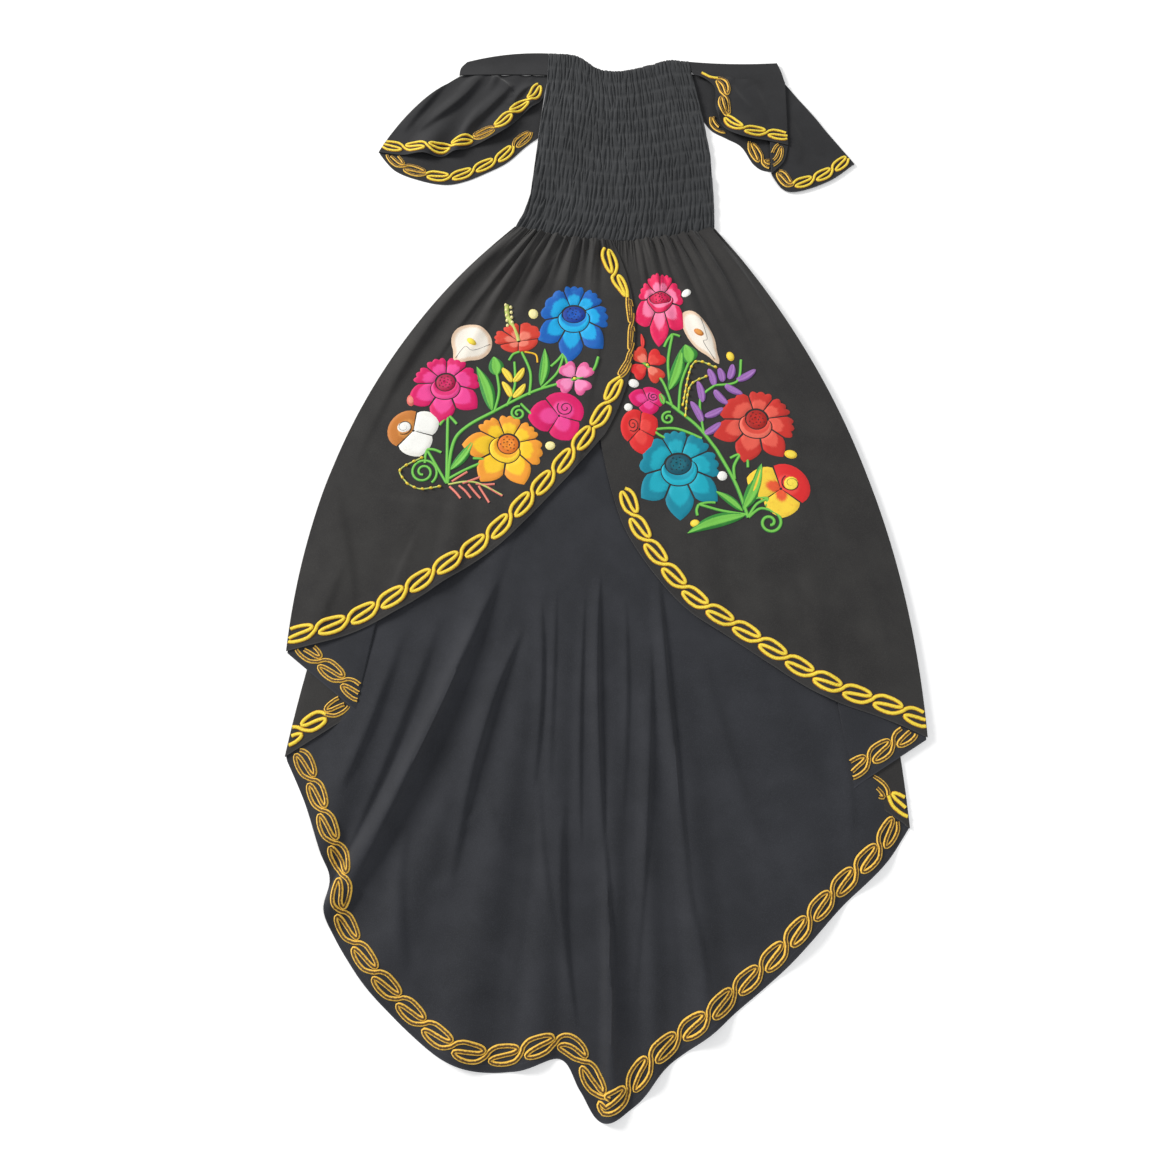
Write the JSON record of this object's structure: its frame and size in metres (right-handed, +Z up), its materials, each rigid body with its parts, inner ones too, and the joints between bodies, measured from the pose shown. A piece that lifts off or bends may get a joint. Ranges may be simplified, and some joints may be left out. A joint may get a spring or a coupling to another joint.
{
  "type": "embroidered dress",
  "caption": "Off-shoulder dress laid flat: shirred bodice, flounce sleeves, curved front opening, long train, embroidered bouquets and a scrolled cord border.",
  "frame": {"origin": "on the flat underside of the train, near the middle of the garment, on the surface that it lies on", "axes": "+Y towards the neckline, +X towards the right of someone who looks down at the front of the dress with the neckline at the top, +Z up, away from the surface"},
  "size_m": [0.8301, 1.5143, 0.0135],
  "materials": {
    "black_cloth": "matt woven cotton",
    "bodice_cloth": "matt cotton, shirred on elastic rows",
    "thread_yellow": "embroidery thread with a soft shine",
    "thread_blue": "embroidery thread with a soft shine",
    "thread_coral": "embroidery thread with a soft shine",
    "thread_cream": "embroidery thread with a soft shine",
    "thread_magenta": "embroidery thread with a soft shine",
    "thread_amber": "embroidery thread with a soft shine",
    "thread_brown": "embroidery thread with a soft shine",
    "thread_rose": "embroidery thread with a soft shine",
    "thread_teal": "embroidery thread with a soft shine",
    "thread_red": "embroidery thread with a soft shine",
    "thread_green": "embroidery thread with a soft shine"
  },
  "bodies": {
    "root": {"bodice_back": "bodice_cloth", "bodice_front": "bodice_cloth", "shoulder_band_left": "black_cloth", "shoulder_band_right": "black_cloth", "flounce_left": "black_cloth", "flounce_right": "black_cloth", "skirt_front_left": "black_cloth", "skirt_front_right": "black_cloth", "skirt_back": "black_cloth", "rose_blue": "thread_blue", "hibiscus_coral": "thread_coral", "calla_white": "thread_cream", "rose_magenta": "thread_magenta", "bud_brown": "thread_brown", "bud_magenta": "thread_magenta", "flower_pink": "thread_rose", "rose_yellow": "thread_amber", "leaf_left_long": "thread_green", "leaf_left_upright": "thread_green", "leaf_left_low": "thread_green", "rose_pink": "thread_rose", "calla_cream": "thread_cream", "flower_red": "thread_red", "bud_rose": "thread_magenta", "bud_red": "thread_red", "rose_red": "thread_red", "rose_teal": "thread_teal", "bud_amber": "thread_amber", "leaf_right_wide": "thread_green", "leaf_right_upright": "thread_green", "leaf_right_high": "thread_green", "stem_left": "thread_green", "stem_right": "thread_green", "border_hem_left": "thread_yellow", "border_hem_right": "thread_yellow", "border_train": "thread_yellow", "border_left_upper_fold": "thread_yellow", "border_left_lower_fold": "thread_yellow", "border_right_lower_fold": "thread_yellow", "border_right_upper_fold": "thread_yellow", "border_flounce_left_front": "thread_yellow", "border_flounce_left_back": "thread_yellow", "border_flounce_right_front": "thread_yellow", "border_flounce_right_back": "thread_yellow", "border_opening_left": "thread_yellow"}
  },
  "joints": []
}
